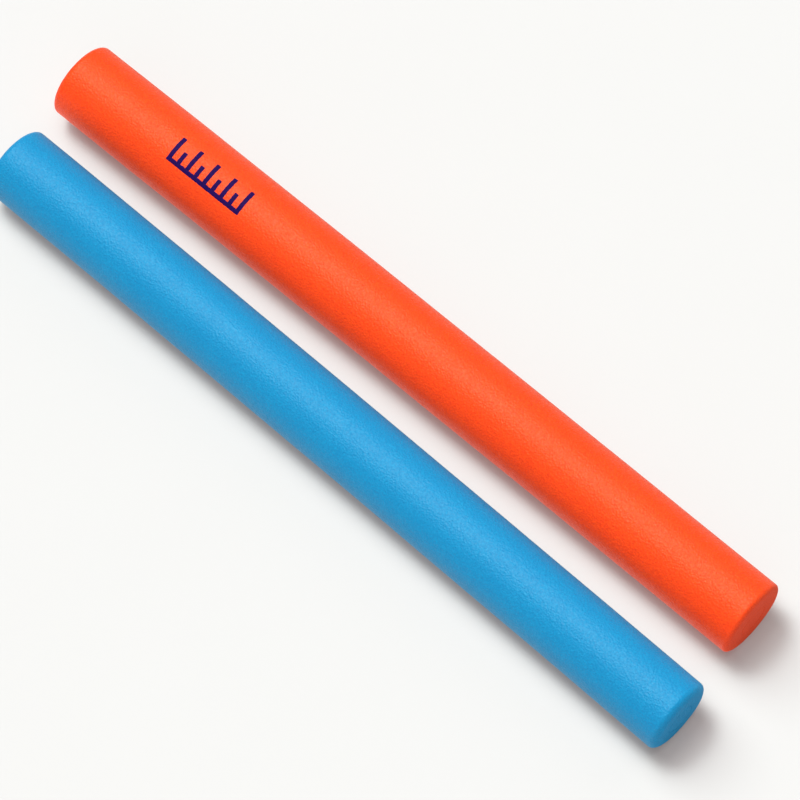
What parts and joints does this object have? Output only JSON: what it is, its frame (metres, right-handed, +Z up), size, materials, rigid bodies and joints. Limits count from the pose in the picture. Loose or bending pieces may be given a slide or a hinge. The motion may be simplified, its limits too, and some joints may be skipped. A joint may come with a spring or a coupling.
{
  "type": "focus training stick pair",
  "caption": "Straight round foam training sticks with a stiff hidden core and softly rounded ends, held by a boxing coach as moving targets.",
  "frame": {"origin": "on the resting surface, under the middle of the bounding box of the pair", "axes": "+Z up; +X along the orange stick towards the near ends; the blue stick lies on the -Y side"},
  "size_m": [0.5482, 0.1242, 0.05],
  "materials": {
    "orange_foam": "matte closed-cell foam with a fine pebbled skin",
    "blue_foam": "matte closed-cell foam with a fine pebbled skin",
    "core_plastic": "extruded rigid plastic tube",
    "cap_plastic": "moulded plastic"
  },
  "bodies": {
    "orange_stick": {"orange_foam_sleeve": "orange_foam", "orange_core_tube": "core_plastic", "orange_near_core_cap": "cap_plastic", "orange_near_end_plug": "orange_foam", "orange_far_core_cap": "cap_plastic", "orange_far_end_plug": "orange_foam"},
    "blue_stick": {"blue_foam_sleeve": "blue_foam", "blue_core_tube": "core_plastic", "blue_near_core_cap": "cap_plastic", "blue_near_end_plug": "blue_foam", "blue_far_core_cap": "cap_plastic", "blue_far_end_plug": "blue_foam"}
  },
  "joints": [
    {"name": "blue_stick_slide", "type": "slide", "parent": "orange_stick", "child": "blue_stick", "axis": [0, -1, 0], "range_m": [-0.017, 0.25]}
  ]
}
